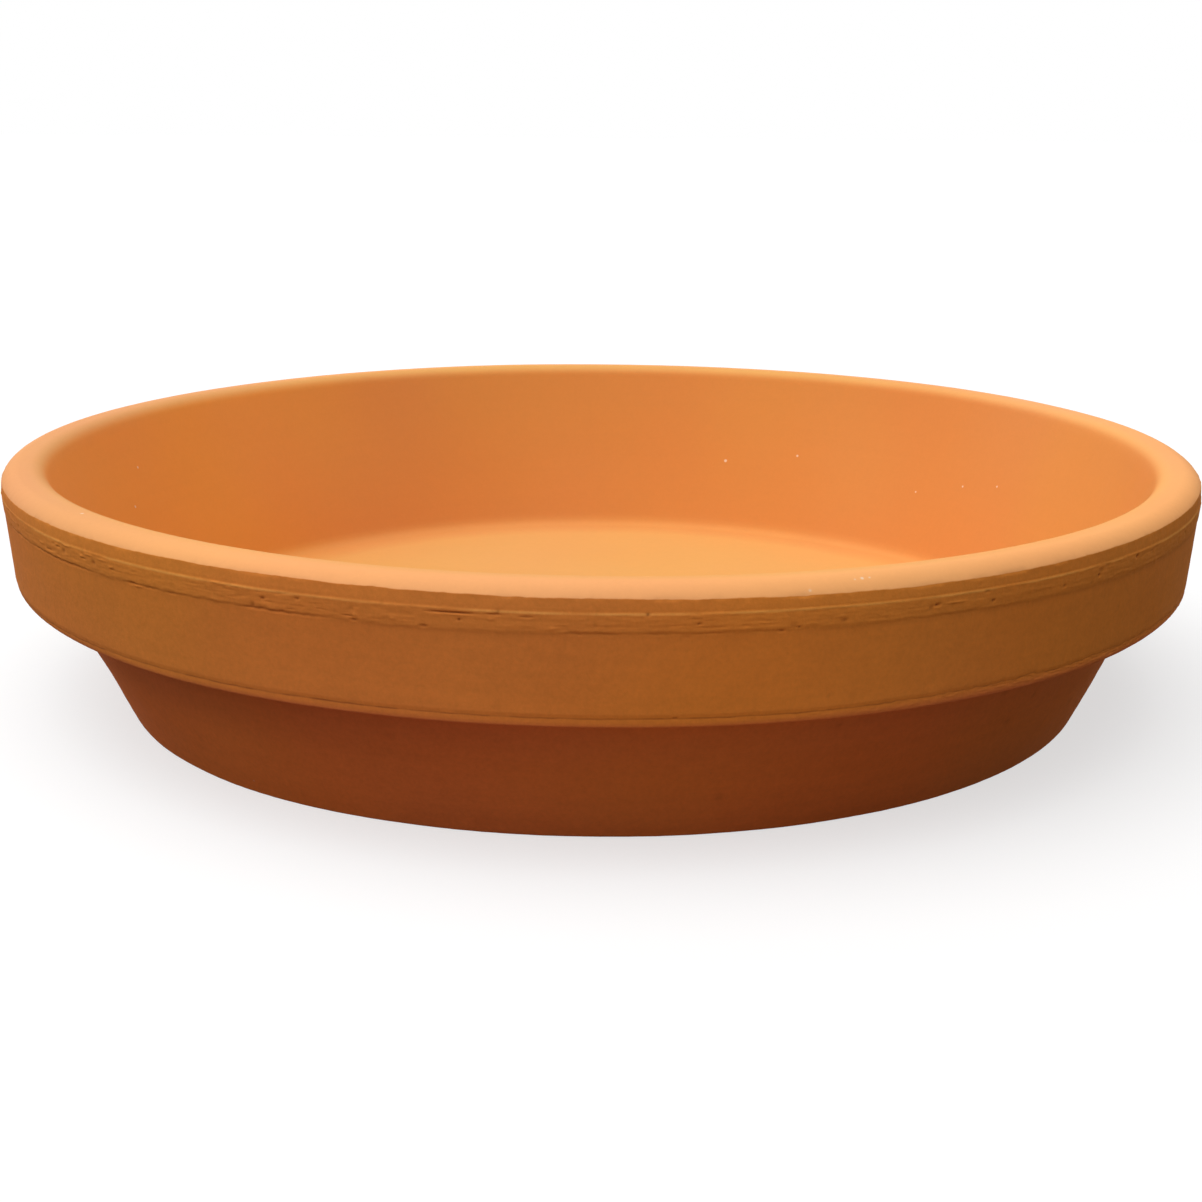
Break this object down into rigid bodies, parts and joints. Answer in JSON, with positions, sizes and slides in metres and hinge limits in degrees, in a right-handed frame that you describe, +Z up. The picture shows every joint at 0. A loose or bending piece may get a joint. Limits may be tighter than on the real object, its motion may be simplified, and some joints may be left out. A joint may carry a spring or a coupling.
{
  "type": "plant saucer",
  "caption": "Round, shallow terracotta saucer with a thick overhanging collar, a rounded lip and a flat floor, for catching water under a plant pot.",
  "frame": {"origin": "centre of the underside, on the surface that the saucer stands on", "axes": "+Z up along the saucer's axis, out of its open top; X and Y are alike, because it is round"},
  "size_m": [0.21, 0.21, 0.042],
  "materials": {
    "terracotta": "unglazed matte orange clay, fine-grained, with small pits and faint mottling"
  },
  "bodies": {
    "root": {"clay_saucer": "terracotta"}
  },
  "joints": []
}
